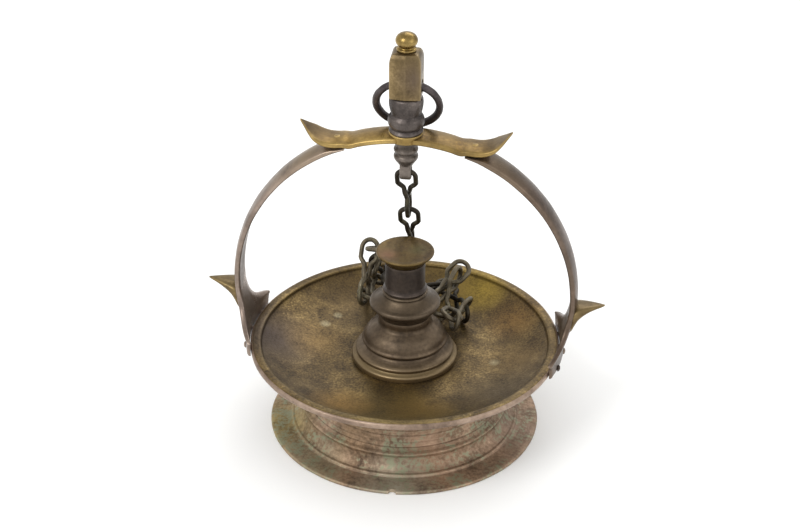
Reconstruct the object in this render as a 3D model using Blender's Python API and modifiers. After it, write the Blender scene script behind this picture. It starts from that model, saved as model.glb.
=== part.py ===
"""Sanctuary lamp: a footed dish with a turned pillar, a band bail, a finial with a ring and a chain.

Metres, +Z up.  The origin is the middle of the foot, on the surface that the lamp stands on.
The bail stands in the XZ plane and the chain hangs back towards +Y.
"""
from math import cos, pi, radians, sin, sqrt
from random import Random

import bmesh
import bpy
from mathutils import Matrix, Quaternion, Vector
from mathutils.bvhtree import BVHTree

MM = 0.001
STEPS_LARGE = 40                # dish and foot
STEPS_SMALL = 20                # pillar and finial

# Foot and dish
FOOT_RADIUS = 92.5 * MM
DISH_RADIUS = 105.0 * MM
FLOOR_TOP = 50.0 * MM           # dish floor, inside
FLOOR_FLAT = 56.0 * MM          # radius where the floor starts to rise
DISH_WALL = 2.0 * MM
TIE_BORE = 3.3 * MM
TIE_RADIUS = 3.0 * MM

# Bail
ARCH_HEIGHT = 105.3 * MM        # centre of the half-circle
ARCH_INNER = 111.0 * MM
ARCH_EDGE = 114.0 * MM          # outer face at the band's two edges
BAND_HALF = 10.3 * MM
PAD_RADIUS = 11.4 * MM
CROWN_TOP = 221.5 * MM
CROWN_RIVET_X = 44.5 * MM
FOOT_RIVET_ANGLES = (-11.5, 0.0, 11.5)
FOOT_RIVET_HEIGHT = 62.6 * MM
RIVET_STEPS = 10
SIDES = ((-1, "left"), (1, "right"))

# Finial and swivel
SWIVEL_BORE = 4.3 * MM
SPINDLE_RADIUS = 3.9 * MM
POST_TOP = 277.7 * MM
POST_WIDTH = 10.25 * MM         # half of each
POST_DEPTH = 8.6 * MM
POST_RIDGE = 1.2 * MM           # how far the middle of the front stands proud of its sides
RING_AXIS = 254.0 * MM          # height of the hole through the post
RING_HOLE = 4.6 * MM
RING_RADIUS = 20.5 * MM
RING_WIRE = 2.5 * MM
RING_DROP = RING_RADIUS - 1.37 * MM     # ring centre below the hole's axis
RING_LEAN = radians(24.6)
EYE_HEIGHT = 191.9 * MM
EYE_HOLE = 3.4 * MM

# Chain
WIRE = 1.7 * MM                 # radius
PITCH = 41.0 * MM
BITE = 1.875 * MM               # wire centre to the point where two links bear
LOOP_HALF = 6.1 * MM            # wire centre to the link's middle, at a loop's widest
LOOP_REACH = 12.5 * MM          # from the link's end, where the loop starts to close
WAIST_REACH = 18.5 * MM         # the same, where it is closed
TWIST_HALF = 2.0 * MM           # wire centre to the link's middle at the waist, where it is twisted

lamp = bpy.data.collections.new("sanctuary_lamp")
cutters = bpy.data.collections.new("cutters")


def clear_scene():
    for old in list(bpy.data.objects):
        bpy.data.objects.remove(old, do_unlink=True)
    for group in (lamp, cutters):
        bpy.context.scene.collection.children.link(group)


def material(name, colour, roughness, metallic=1.0):
    mat = bpy.data.materials.new(name)
    mat.use_nodes = True
    shader = mat.node_tree.nodes["Principled BSDF"]
    shader.inputs["Base Color"].default_value = (*colour, 1.0)
    shader.inputs["Roughness"].default_value = roughness
    shader.inputs["Metallic"].default_value = metallic
    return mat


def place(name, mesh, mat=None):
    """Link a mesh as a named sub-part, or as a cutter where no material is given."""
    obj = bpy.data.objects.new(name, mesh)
    if mat is None:
        cutters.objects.link(obj)
        obj.hide_render = True
        obj.display_type = "WIRE"
    else:
        lamp.objects.link(obj)
        mesh.materials.append(mat)
    return obj


def finish_mesh(name, bm, sharp=35.0):
    bmesh.ops.recalc_face_normals(bm, faces=bm.faces)
    mesh = bpy.data.meshes.new(name)
    bm.to_mesh(mesh)
    bm.free()
    mesh.shade_smooth()
    mesh.set_sharp_from_angle(angle=radians(sharp))
    return mesh


def turned(name, profile, mat=None, steps=STEPS_SMALL):
    """A profile in millimetres, (radius, height) down the outer side, turned about Z.

    It is a closed loop round a bore, or it starts and ends on the axis.
    """
    bm = bmesh.new()
    verts = [bm.verts.new((x * MM, 0.0, z * MM)) for x, z in profile]
    pairs = list(zip(verts, verts[1:]))
    if profile[0][0] > 0:
        pairs.append((verts[-1], verts[0]))
    for a, b in pairs:
        bm.edges.new((a, b))
    mesh = bpy.data.meshes.new(name)
    bm.to_mesh(mesh)
    bm.free()
    obj = place(name, mesh, mat)
    screw = obj.modifiers.new("turn", "SCREW")
    screw.axis = "Z"
    screw.steps = steps
    screw.render_steps = steps
    screw.use_merge_vertices = True
    screw.merge_threshold = 0.00001
    screw.use_smooth_shade = True
    return obj


def cylinder(name, radius, depth, location=(0, 0, 0), rotation=(0, 0, 0), mat=None, segments=32):
    bm = bmesh.new()
    bmesh.ops.create_cone(bm, cap_ends=True, segments=segments, radius1=radius, radius2=radius, depth=depth)
    obj = place(name, finish_mesh(name, bm), mat)
    obj.location = location
    obj.rotation_euler = rotation
    return obj


def boolean(obj, other, operation="DIFFERENCE"):
    mod = obj.modifiers.new(operation.lower(), "BOOLEAN")
    mod.operation = operation
    mod.solver = "EXACT"
    mod.object = other


def loft(name, sections, mat=None):
    """A closed body through rings of points, each ring the same length, capped at both ends."""
    bm = bmesh.new()
    rings = [[bm.verts.new(p) for p in section] for section in sections]
    count = len(rings[0])
    for lower, upper in zip(rings, rings[1:]):
        for i in range(count):
            j = (i + 1) % count
            bm.faces.new((lower[i], lower[j], upper[j], upper[i]))
    bm.faces.new(rings[0])
    bm.faces.new(list(reversed(rings[-1])))
    return place(name, finish_mesh(name, bm), mat)


def blend_values(table, x):
    """Read a value from a short table of (position, value) pairs, smoothly between them."""
    for (x0, v0), (x1, v1) in zip(table, table[1:]):
        if x <= x1:
            t = max(0.0, (x - x0) / (x1 - x0))
            t = t * t * (3 - 2 * t)
            return v0 + (v1 - v0) * t
    return table[-1][1]


# --------------------------------------------------------------------------- foot, dish and pillar
def floor_rise(radius):
    """Height of the dish's inner surface above its floor, in millimetres."""
    return 11.2 * max(0.0, (radius - FLOOR_FLAT / MM) / 40.0) ** 2


def dish(mat):
    floor = FLOOR_TOP / MM
    wall = DISH_WALL / MM
    bore = TIE_BORE / MM
    radii = [FLOOR_FLAT / MM + 8.0 * i for i in range(6)]
    rim = [(97.8, 64.6), (104.2, 64.6), (105.0, 63.6), (105.0, 61.2), (104.2, 60.4), (99.0, 60.2)]
    under = [(r - 0.6, floor + floor_rise(r) - wall) for r in reversed(radii)]
    inner = [(r, floor + floor_rise(r)) for r in radii]
    profile = rim + under + [(bore, floor - wall), (bore, floor)] + inner + [(97.3, 62.2)]
    return turned("dish", profile, mat, STEPS_LARGE)


def foot_ring(mat):
    bore = TIE_BORE / MM
    outer = [(54.6, 47.7), (60.0, 45.4), (63.0, 38.0), (63.4, 31.0), (65.2, 23.2), (69.4, 17.4),
             (71.1, 15.9), (70.6, 13.8), (72.4, 9.0), (75.8, 5.6), (77.6, 5.2), (79.2, 3.5), (91.4, 2.2),
             (92.5, 1.3), (92.5, 0.0)]
    inner = [(80.0, 0.0), (74.8, 2.9), (69.6, 10.0), (68.2, 14.8), (64.0, 20.4), (61.5, 29.0),
             (61.1, 37.4), (58.6, 44.0), (54.4, 45.7), (bore, 45.7), (bore, 47.7)]
    foot = turned("foot_ring", outer + inner, mat, STEPS_LARGE)
    notch_place = (3.8 * MM, -FOOT_RADIUS + 0.4 * MM, 0.0)
    boolean(foot, cylinder("notch_cutter", 2.5 * MM, 10 * MM, notch_place, segments=12))
    return foot


def pillar(mats):
    bore = TIE_BORE / MM
    base = [(17.9, 84.0), (18.1, 78.4), (19.8, 76.6), (25.8, 71.4), (28.2, 66.4), (29.0, 65.2),
            (28.3, 64.1), (26.8, 62.8), (27.2, 61.0), (32.4, 58.4), (33.4, 57.2), (32.6, 55.5),
            (35.4, 53.9), (36.0, 53.0), (36.0, 50.3), (bore, 50.3), (bore, 84.0)]
    collar = [(14.4, 103.0), (15.6, 101.7), (15.4, 100.2), (19.2, 96.7), (23.2, 94.2), (23.8, 93.2),
              (23.6, 91.5), (20.4, 90.0), (18.4, 86.6), (17.9, 84.3), (bore, 84.3), (bore, 103.0)]
    stem = [(13.5, 124.6), (13.4, 115.0), (13.6, 106.2), (14.6, 103.9), (14.4, 103.3), (bore, 103.3),
            (bore, 124.6)]
    cap = [(0.0, 131.8), (15.0, 132.1), (18.7, 132.5), (19.4, 131.9), (17.8, 129.8), (14.6, 126.4),
           (13.6, 124.9), (bore, 124.9), (bore, 130.0), (0.0, 130.0)]
    turned("pillar_base", base, mats["dark"])
    turned("pillar_collar", collar, mats["dark"])
    turned("pillar_stem", stem, mats["dark"])
    turned("pillar_cap", cap, mats["bronze"])


def tie(mat):
    low, high = 36.0 * MM, 129.7 * MM
    cylinder("tie_rod", TIE_RADIUS, high - low, (0, 0, (high + low) / 2), mat=mat, segments=16)
    hole = TIE_BORE / MM
    turned("tie_washer", [(9.0, 45.4), (9.0, 43.9), (hole, 43.9), (hole, 45.4)], mat)
    hexagon_nut("tie_nut", 5.2 * MM, 38.4 * MM, 43.6 * MM, mat)


def hexagon_nut(name, flat, low, high, mat):
    """A nut with a round bore, its flats 2 * flat apart."""
    bm = bmesh.new()
    corner = flat / cos(pi / 6)
    bmesh.ops.create_cone(bm, cap_ends=True, segments=6, radius1=corner, radius2=corner, depth=high - low)
    nut = place(name, finish_mesh(name, bm), mat)
    nut.location = (0, 0, (low + high) / 2)
    boolean(nut, cylinder(name + "_cutter", TIE_BORE, 40 * MM, (0, 0, low), segments=16))


# --------------------------------------------------------------------------- bail
def band_section(centre, outward, half, edge, crown, lift=0.0):
    """One ring across the band: flat inside, rounded outside.

    centre is on the inner face, outward points away from the arch's middle, and edge and crown are
    the band's thicknesses at its edges and middle.  lift bends the ring in plan, for the foot.
    """
    steps = 6
    inner, outer = [], []
    for i in range(steps + 1):
        u = 2.0 * i / steps - 1.0
        y = half * u
        bend = lift * (sqrt(max(0.0, DISH_RADIUS ** 2 - y * y)) - DISH_RADIUS)
        shift = Vector((bend, 0, 0)) if outward.x > 0 else Vector((-bend, 0, 0))
        base = centre + shift + Vector((0, y, 0))
        inner.append(base)
        outer.append(base + outward * (edge + (crown - edge) * (1 - u * u)))
    return inner + list(reversed(outer))


def arch_point(angle, radius):
    return Vector((radius * cos(angle), 0, ARCH_HEIGHT + radius * sin(angle)))


def bail_leg(name, side, mat):
    """One leg: a tongue under the crosspiece, the arch, then the fishtail foot on the dish's rim."""
    edge_radius = [(0.0, 114.0), (62.5, 114.0), (66.0, 113.5), (69.5, 111.8)]
    crown_radius = [(0.0, 115.8), (60.0, 115.8), (62.5, 115.4), (66.0, 113.7), (69.5, 111.9)]
    sections = []
    angles = [69.5, 67.5, 66.0, 64.0, 62.5, 60.0] + [60.0 - 7.5 * i for i in range(1, 9)]
    for degrees in angles:
        angle = radians(degrees)
        edge = blend_values(edge_radius, degrees) * MM - ARCH_INNER
        crown = blend_values(crown_radius, degrees) * MM - ARCH_INNER
        outward = Vector((side * cos(angle), 0, sin(angle)))
        centre = arch_point(angle, ARCH_INNER)
        centre.x *= side
        sections.append(band_section(centre, outward, BAND_HALF, edge, crown))
    # height, inner face, half width, edge and crown thickness, bend in plan
    foot = [(98.0, 110.7, 10.3, 3.2, 5.0, 0.0), (91.5, 109.6, 10.9, 3.3, 5.4, 0.05),
            (86.0, 108.3, 12.8, 3.3, 5.2, 0.2), (81.5, 107.3, 16.6, 3.2, 4.8, 0.45),
            (77.6, 106.5, 22.0, 3.1, 4.3, 0.7), (74.6, 106.0, 28.4, 3.0, 3.8, 0.9),
            (72.4, 105.6, 34.2, 2.8, 3.4, 1.0), (71.2, 105.4, 35.2, 2.7, 3.2, 1.0),
            (69.8, 105.35, 33.9, 2.6, 3.0, 1.0), (66.0, 105.35, 33.0, 2.5, 2.8, 1.0),
            (61.8, 105.35, 32.4, 2.3, 2.6, 1.0), (60.4, 105.35, 32.0, 1.6, 1.9, 1.0)]
    outward = Vector((side, 0, 0))
    for z, x, half, edge, crown, lift in foot:
        centre = Vector((side * x * MM, 0, z * MM))
        sections.append(band_section(centre, outward, half * MM, edge * MM, crown * MM, lift))
    leg = loft(name, sections, mat)
    boolean(leg, thorn(name + "_thorn", side), "UNION")
    return leg


def thorn(name, side):
    """The pointed spur on the outside of a leg, from inside the leg to its tip."""
    # x, underside, top, half width
    stations = [(112.4, 82.0, 99.6, 9.8), (114.6, 86.0, 100.0, 9.9), (117.0, 91.2, 100.3, 9.2),
                (120.0, 94.4, 100.6, 7.8), (124.0, 96.9, 100.9, 5.8), (128.0, 98.6, 101.1, 3.8),
                (132.0, 99.9, 101.3, 1.7), (134.1, 100.7, 101.3, 0.6)]
    sections = []
    for x, low, high, half in stations:
        corner = min(0.25 * (high - low), 1.2)
        ring = [(-half, low + corner), (-half * 0.6, low), (half * 0.6, low), (half, low + corner),
                (half, high - corner), (half * 0.8, high), (-half * 0.8, high), (-half, high - corner)]
        sections.append([Vector((side * x, y, z)) * MM for y, z in ring])
    return loft(name, sections)


def bail_crown(mat):
    """The crosspiece: the middle of the arch, curling up and out to a pointed leaf at each end."""
    # x, underside, top edge, crown above the edge, half width
    leaf = [(41.0, 210.7, 213.7, 1.3, 10.3), (46.0, 210.3, 213.3, 1.1, 10.3), (51.0, 210.7, 213.7, 0.9, 10.3),
            (56.0, 212.4, 215.3, 0.7, 10.2), (59.5, 214.6, 217.4, 0.5, 9.6), (63.0, 217.6, 220.2, 0.3, 6.4),
            (66.0, 220.9, 223.0, 0.2, 3.3), (68.8, 224.2, 225.2, 0.1, 0.6)]
    half_rings = []
    for x in [6.0 * i for i in range(7)]:
        under = ARCH_HEIGHT / MM + sqrt((ARCH_INNER / MM) ** 2 - x * x)
        top = ARCH_HEIGHT / MM + sqrt((ARCH_EDGE / MM + 0.2) ** 2 - x * x)
        half_rings.append((x, under, top, 1.5, BAND_HALF / MM))
    half_rings += leaf
    rows = [(-x, *rest) for x, *rest in reversed(half_rings[1:])] + half_rings
    sections = []
    for x, under, top, rise, half in rows:
        steps = 6
        upper = []
        for i in range(steps + 1):
            u = 2.0 * i / steps - 1.0
            upper.append(Vector((x, half * u, top + rise * (1 - u * u))) * MM)
        lower = [Vector((x, half, under)) * MM, Vector((x, -half, under)) * MM]
        sections.append(upper + lower)
    crown = loft("bail_crown", sections, mat)
    pad_low = ARCH_HEIGHT + ARCH_INNER - 0.2 * MM
    pad = cylinder("pad", PAD_RADIUS, CROWN_TOP - pad_low, (0, 0, (CROWN_TOP + pad_low) / 2), segments=32)
    boolean(crown, pad, "UNION")
    boolean(crown, cylinder("swivel_hole", SWIVEL_BORE, 30 * MM, (0, 0, CROWN_TOP), segments=32))
    return crown


def riveted(name, profile, hole, matrix, pieces, mat):
    """A turned rivet and the hole it sits in, both placed by one matrix."""
    rivet = turned(name, profile, mat, RIVET_STEPS)
    rivet.matrix_world = matrix
    cutter = turned(name + "_hole", hole, None, RIVET_STEPS)
    cutter.matrix_world = matrix
    for piece in pieces:
        boolean(piece, cutter)


def crown_rivets(crown, legs, mat):
    """One flush rivet at each end of the crosspiece, through it and through the leg's tongue."""
    profile = [(0.0, 214.9), (1.9, 214.7), (2.3, 214.3), (1.4, 213.2), (1.4, 207.6), (2.2, 206.4),
               (2.0, 205.6), (0.0, 205.3)]
    hole = [(0.0, 218.0), (2.6, 218.0), (2.6, 214.1), (1.7, 213.0), (1.7, 207.8), (2.5, 206.8),
            (2.5, 203.0), (0.0, 203.0)]
    for side, word in SIDES:
        matrix = Matrix.Translation((side * CROWN_RIVET_X, 0, 0))
        riveted(f"crown_rivet_{word}", profile, hole, matrix, [crown, legs[word]], mat)


def foot_rivets(legs, dish_body, mat):
    """Round-headed rivets through the fishtail feet into the rim; their axes cross the lamp's axis."""
    tip, seat = 100.4, 108.3
    profile = [(0.0, seat + 1.2), (1.4, seat + 0.9), (2.3, seat), (1.3, seat - 0.1), (1.3, tip), (0.0, tip)]
    hole = [(0.0, 116.0), (1.7, 116.0), (1.7, tip - 0.4), (0.0, tip - 0.4)]
    for side, word in SIDES:
        for number, degrees in enumerate(FOOT_RIVET_ANGLES, start=1):
            turn = radians(degrees) if side > 0 else pi + radians(degrees)
            matrix = Matrix.Rotation(turn, 4, "Z") @ Matrix.Rotation(pi / 2, 4, "Y")
            matrix = Matrix.Translation((0, 0, FOOT_RIVET_HEIGHT)) @ matrix
            riveted(f"foot_rivet_{word}_{number}", profile, hole, matrix, [legs[word], dish_body], mat)


# --------------------------------------------------------------------------- finial, swivel and ring
def finial(mats):
    bore = SWIVEL_BORE / MM
    boss = [(9.4, 246.5), (10.7, 245.2), (11.2, 242.6), (11.0, 239.0), (10.3, 236.2), (9.7, 234.4),
            (11.4, 231.8), (11.9, 229.2), (11.4, 226.4), (9.9, 224.3), (11.2, 222.8), (11.0, 221.8),
            (bore, 221.8), (bore, 242.0), (7.1, 242.0), (7.1, 246.5)]
    turned("swivel_boss", boss, mats["dark"])
    finial_post(mats["bronze"])
    knob = [(0.0, 289.9), (3.6, 289.4), (6.2, 287.6), (7.2, 284.8), (6.4, 282.0), (4.9, 280.5),
            (6.4, 279.1), (6.2, 278.0), (2.6, 278.0), (2.6, 272.0), (0.0, 272.0)]
    turned("finial_knob", knob, mats["brass"])


def finial_post(mat):
    """A flat post, faintly ridged front and back, with the ring's hole through it from side to side."""
    chamfer = 1.0 * MM
    front = [(-POST_WIDTH, chamfer - POST_DEPTH), (chamfer - POST_WIDTH, -POST_DEPTH),
             (0.0, -POST_DEPTH - POST_RIDGE), (POST_WIDTH - chamfer, -POST_DEPTH),
             (POST_WIDTH, chamfer - POST_DEPTH)]
    outline = front + [(-x, -y) for x, y in front]
    # height, size relative to the full section
    levels = [(246.8, 0.95), (247.2, 0.985), (248.0, 1.0), (270.6, 1.0), (273.6, 0.97), (275.8, 0.89),
              (277.2, 0.76), (277.7, 0.62)]
    sections = [[Vector((x * scale, y * scale, z * MM)) for x, y in outline] for z, scale in levels]
    post = loft("finial_post", sections, mat)
    boolean(post, cylinder("ring_hole", RING_HOLE, 60 * MM, (0, 0, RING_AXIS), (0, pi / 2, 0), segments=20))
    boolean(post, cylinder("spindle_space", 3.6 * MM, 2.4 * MM, (0, 0, 246.7 * MM), segments=20))
    boolean(post, cylinder("knob_hole", 2.9 * MM, 14 * MM, (0, 0, POST_TOP), segments=16))


def hanging_ring(mat):
    bpy.ops.mesh.primitive_torus_add(major_segments=32, minor_segments=8, major_radius=RING_RADIUS,
                                     minor_radius=RING_WIRE)
    ring = bpy.context.active_object
    ring.name = "hanging_ring"
    for group in list(ring.users_collection):
        group.objects.unlink(ring)
    lamp.objects.link(ring)
    ring.data.transform(Matrix.Translation((0, 0, -RING_DROP)) @ Matrix.Rotation(pi / 2, 4, "X"))
    ring.data.materials.append(mat)
    ring.data.shade_smooth()
    ring.location = (0, 0, RING_AXIS)
    ring.rotation_euler = (RING_LEAN, 0, 0)
    return ring


def swivel(mats):
    """The spindle with its knuckle and eye, and the nut that holds it up on top of the boss."""
    spindle = SPINDLE_RADIUS / MM
    knuckle = [(0.0, 247.4), (2.9, 247.4), (2.9, 242.3), (spindle, 242.3), (spindle, 216.0), (7.2, 216.0),
               (7.1, 211.2), (8.0, 208.8), (7.1, 206.0), (8.0, 203.4), (7.3, 201.2), (4.8, 198.2),
               (3.9, 196.4), (0.0, 196.4)]
    body = turned("swivel_eye", knuckle, mats["iron"])
    boolean(body, eye_tongue(), "UNION")
    boolean(body, cylinder("eye_hole", EYE_HOLE, 40 * MM, (0, 0, EYE_HEIGHT), (0, pi / 2, 0), segments=18))
    nut = [(6.8, 246.4), (6.8, 242.6), (3.2, 242.6), (3.2, 246.4)]
    turned("swivel_nut", nut, mats["iron"])


def eye_tongue():
    """The flat tongue under the knuckle, rounded at its foot."""
    bm = bmesh.new()
    outline = [(-4.2, 199.0), (-5.4, 193.0)]
    for i in range(9):
        a = pi + pi * i / 8
        outline.append((5.4 * cos(a), 191.9 + 5.4 * sin(a)))
    outline += [(5.4, 193.0), (4.2, 199.0)]
    left = [bm.verts.new((-3.65 * MM, y * MM, z * MM)) for y, z in outline]
    right = [bm.verts.new((3.65 * MM, y * MM, z * MM)) for y, z in outline]
    bm.faces.new(left)
    bm.faces.new(list(reversed(right)))
    count = len(outline)
    for i in range(count):
        j = (i + 1) % count
        bm.faces.new((left[i], right[i], right[j], left[j]))
    return place("eye_tongue", finish_mesh("eye_tongue", bm))


# --------------------------------------------------------------------------- chain
def smooth(t):
    t = min(1.0, max(0.0, t))
    return t * t * (3 - 2 * t)


def link_centres(count=24):
    """The middle of the wire round one link: two long loops, a quarter turn apart, and a waist.

    The top loop lies in XZ and the lower loop in YZ.  The origin is where the link above bears, and
    the point where the link below bears is PITCH under it.
    """
    length = PITCH + 2 * BITE
    centres = []
    for i in range(count):
        t = 2 * pi * i / count
        along = 0.5 * (1 - cos(t)) * length
        from_end = min(along, length - along)
        half = sqrt(LOOP_HALF ** 2 - max(0.0, LOOP_HALF - from_end) ** 2)
        close = smooth((from_end - LOOP_REACH) / (WAIST_REACH - LOOP_REACH))
        half += (TWIST_HALF - half) * close
        half = half if t < pi else -half
        turn = radians(90.0) * smooth((along / length - 0.36) / 0.28)
        centres.append(Vector((half * cos(turn), half * sin(turn), BITE - along)))
    return centres


def link_curve(radius):
    curve = bpy.data.curves.new("chain_link", "CURVE")
    curve.dimensions = "3D"
    curve.bevel_depth = radius
    curve.bevel_resolution = 1
    spline = curve.splines.new("POLY")
    centres = link_centres()
    spline.points.add(len(centres) - 1)
    for point, centre in zip(spline.points, centres):
        point.co = (*centre, 1.0)
    spline.use_cyclic_u = True
    return curve


# The hanging links run straight back and down.  The others are slack, and each has the point in
# millimetres that its lower end is aimed at.
CHAIN_START = Vector((0.0, 0.6, 190.8)) * MM
CHAIN_LEAN = radians(24.0)
HANGING_LINKS = 2
SLACK_AIMS = [(-30, 48, 104), (-32, 30, 72), (-30, 62, 60), (-26, 34, 84), (-32, 64, 72), (4, 70, 60),
              (32, 54, 58), (30, 26, 72), (24, 60, 62), (36, 30, 62), (28, 64, 74), (2, 72, 60)]
TRIES = 900
SEED = 13
HEAP_SIDES = (-39.0, 43.0)      # how far to the left and right the heap may lie, in millimetres
HEAP_GAP = 0.2 * MM             # half of the least gap between two heaped links
# The pillar's radius up to each height, in millimetres, with room for the heap to turn round it.
KEEP_OUT = [(53.6, 36.6), (58.9, 33.9), (66.6, 29.6), (73.0, 27.2), (78.0, 21.4), (89.0, 20.8),
            (98.0, 24.5), (104.5, 16.2), (124.0, 14.2), (133.2, 20.2)]


def link_matrix(start, down, across):
    """Place a link with its origin at start, running along down, its top loop spread along across."""
    turn = Matrix((across, (-down).cross(across), -down)).transposed().to_4x4()
    return Matrix.Translation(start) @ turn


def thick_link():
    """Corners and faces of a link with a wire that is too thick by HEAP_GAP, to test for room."""
    probe = bpy.data.objects.new("probe", link_curve(WIRE + HEAP_GAP))
    cutters.objects.link(probe)
    mesh = probe.evaluated_get(bpy.context.evaluated_depsgraph_get()).to_mesh()
    corners = [v.co.copy() for v in mesh.vertices]
    faces = [tuple(p.vertices) for p in mesh.polygons]
    bpy.data.objects.remove(probe, do_unlink=True)
    return corners, faces


def clear_of_lamp(corners):
    for corner in corners:
        radius = corner.xy.length / MM
        height = corner.z / MM
        if not HEAP_SIDES[0] < corner.x / MM < HEAP_SIDES[1]:
            return False
        if height < FLOOR_TOP / MM + floor_rise(radius) + 0.2 or radius > 93.0:
            return False
        if any(height <= top and radius < limit for top, limit in KEEP_OUT):
            return False
    return True


def threaded(before, aim, around, roll):
    """The start, direction and spread of a link through the lower loop of the one before it.

    around is how far round that loop, from its foot, the two links meet.
    """
    start, down, across = before
    radial = Quaternion(across, around) @ down
    meeting = start + down * (PITCH + BITE - LOOP_HALF) + radial * LOOP_HALF
    onward = (aim - meeting).normalized()
    spread = across.cross(radial).cross(onward).normalized()
    return meeting - onward * (LOOP_HALF - BITE), onward, Quaternion(onward, roll) @ spread


def slack_link(before, aim, corners, faces, placed, chance):
    """Of many ways to thread a link, the clear one that ends nearest to its aim."""
    best, least = None, 1.0
    for _ in range(TRIES):
        away = Vector((chance.gauss(0, 1), chance.gauss(0, 1), chance.gauss(0, 1))) * 8 * MM
        around = chance.uniform(-pi / 2, pi / 2)
        lie = threaded(before, aim + away, around, chance.uniform(-0.7, 0.7))
        miss = (lie[0] + lie[1] * PITCH - aim).length
        if miss < least:
            moved = [link_matrix(*lie) @ corner for corner in corners]
            if clear_of_lamp(moved):
                tree = BVHTree.FromPolygons(moved, faces)
                if not any(tree.overlap(other) for other in placed):
                    best, least = lie, miss
    if best is None:
        raise ValueError(f"no room for the link aimed at {aim}")
    return best


def chain(mat):
    """Links from the eye down behind the pillar, then heaped in the dish."""
    curve = link_curve(WIRE)
    curve.materials.append(mat)
    corners, faces = thick_link()
    chance = Random(SEED)
    placed = []
    lie = (CHAIN_START, Vector((0, sin(CHAIN_LEAN), -cos(CHAIN_LEAN))), Vector((1, 0, 0)))
    for number in range(1, HANGING_LINKS + len(SLACK_AIMS) + 1):
        if number > HANGING_LINKS:
            aim = Vector(SLACK_AIMS[number - HANGING_LINKS - 1]) * MM
            lie = slack_link(lie, aim, corners, faces, placed, chance)
        elif number > 1:
            lie = (lie[0] + lie[1] * PITCH, lie[1], lie[2])
        matrix = link_matrix(*lie)
        placed.append(BVHTree.FromPolygons([matrix @ corner for corner in corners], faces))
        link = bpy.data.objects.new(f"chain_link_{number:02d}", curve)
        link.matrix_world = matrix
        lamp.objects.link(link)


def main():
    clear_scene()
    mats = {
        "bronze": material("aged_bronze", (0.21, 0.14, 0.055), 0.42),
        "dark": material("dark_bronze", (0.10, 0.065, 0.035), 0.45),
        "brass": material("polished_brass", (0.45, 0.30, 0.11), 0.30),
        "green": material("verdigris_bronze", (0.17, 0.15, 0.09), 0.55),
        "iron": material("dark_iron", (0.06, 0.05, 0.05), 0.5),
    }
    dish_body = dish(mats["bronze"])
    foot_ring(mats["green"])
    pillar(mats)
    tie(mats["iron"])
    crown = bail_crown(mats["bronze"])
    legs = {}
    for side, word in SIDES:
        legs[word] = bail_leg(f"bail_leg_{word}", side, mats["bronze"])
    foot_rivets(legs, dish_body, mats["dark"])
    crown_rivets(crown, legs, mats["dark"])
    finial(mats)
    hanging_ring(mats["iron"])
    swivel(mats)
    chain(mats["iron"])


main()
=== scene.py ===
"""Looks of the sanctuary lamp: finer turned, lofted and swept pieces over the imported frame.

Metres, +Z up, the same frame as the CAD.  Profiles are in millimetres.
"""
from math import cos, hypot, pi, radians, sin, sqrt

import bmesh
import bpy
import numpy as np
from mathutils import Matrix, Quaternion, Vector, noise


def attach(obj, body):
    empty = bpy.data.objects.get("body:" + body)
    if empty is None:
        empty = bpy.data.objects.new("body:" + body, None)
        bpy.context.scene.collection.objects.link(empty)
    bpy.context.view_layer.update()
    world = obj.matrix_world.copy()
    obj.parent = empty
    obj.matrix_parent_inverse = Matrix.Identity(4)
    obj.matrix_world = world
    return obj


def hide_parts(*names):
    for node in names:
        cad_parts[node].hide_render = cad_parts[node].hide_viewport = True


MM = 0.001
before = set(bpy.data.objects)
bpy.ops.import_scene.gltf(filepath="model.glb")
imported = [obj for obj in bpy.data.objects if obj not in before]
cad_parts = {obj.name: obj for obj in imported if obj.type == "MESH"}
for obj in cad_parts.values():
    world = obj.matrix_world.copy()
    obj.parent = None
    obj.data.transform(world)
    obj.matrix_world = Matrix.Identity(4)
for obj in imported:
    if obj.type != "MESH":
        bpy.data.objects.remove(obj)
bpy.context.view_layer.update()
STEPS = 144                     # round large turned pieces
STEPS_FINE = 64                 # round small ones

# --------------------------------------------------------------------------- meshes
def spline(points, per=5):
    """Points along a smooth curve through the given ones, each a tuple of numbers."""
    pts = [Vector(p) for p in points]
    ends = [2 * pts[0] - pts[1]] + pts + [2 * pts[-1] - pts[-2]]
    out = []
    for p0, p1, p2, p3 in zip(ends, ends[1:], ends[2:], ends[3:]):
        t0 = 0.0
        t1 = t0 + max((p1 - p0).length, 1e-6) ** 0.5
        t2 = t1 + max((p2 - p1).length, 1e-6) ** 0.5
        t3 = t2 + max((p3 - p2).length, 1e-6) ** 0.5
        for i in range(per):
            t = t1 + (t2 - t1) * i / per
            a1 = p0 * ((t1 - t) / (t1 - t0)) + p1 * ((t - t0) / (t1 - t0))
            a2 = p1 * ((t2 - t) / (t2 - t1)) + p2 * ((t - t1) / (t2 - t1))
            a3 = p2 * ((t3 - t) / (t3 - t2)) + p3 * ((t - t2) / (t3 - t2))
            b1 = a1 * ((t2 - t) / (t2 - t0)) + a2 * ((t - t0) / (t2 - t0))
            b2 = a2 * ((t3 - t) / (t3 - t1)) + a3 * ((t - t1) / (t3 - t1))
            out.append(b1 * ((t2 - t) / (t2 - t1)) + b2 * ((t - t1) / (t2 - t1)))
    return out + [pts[-1]]


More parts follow.
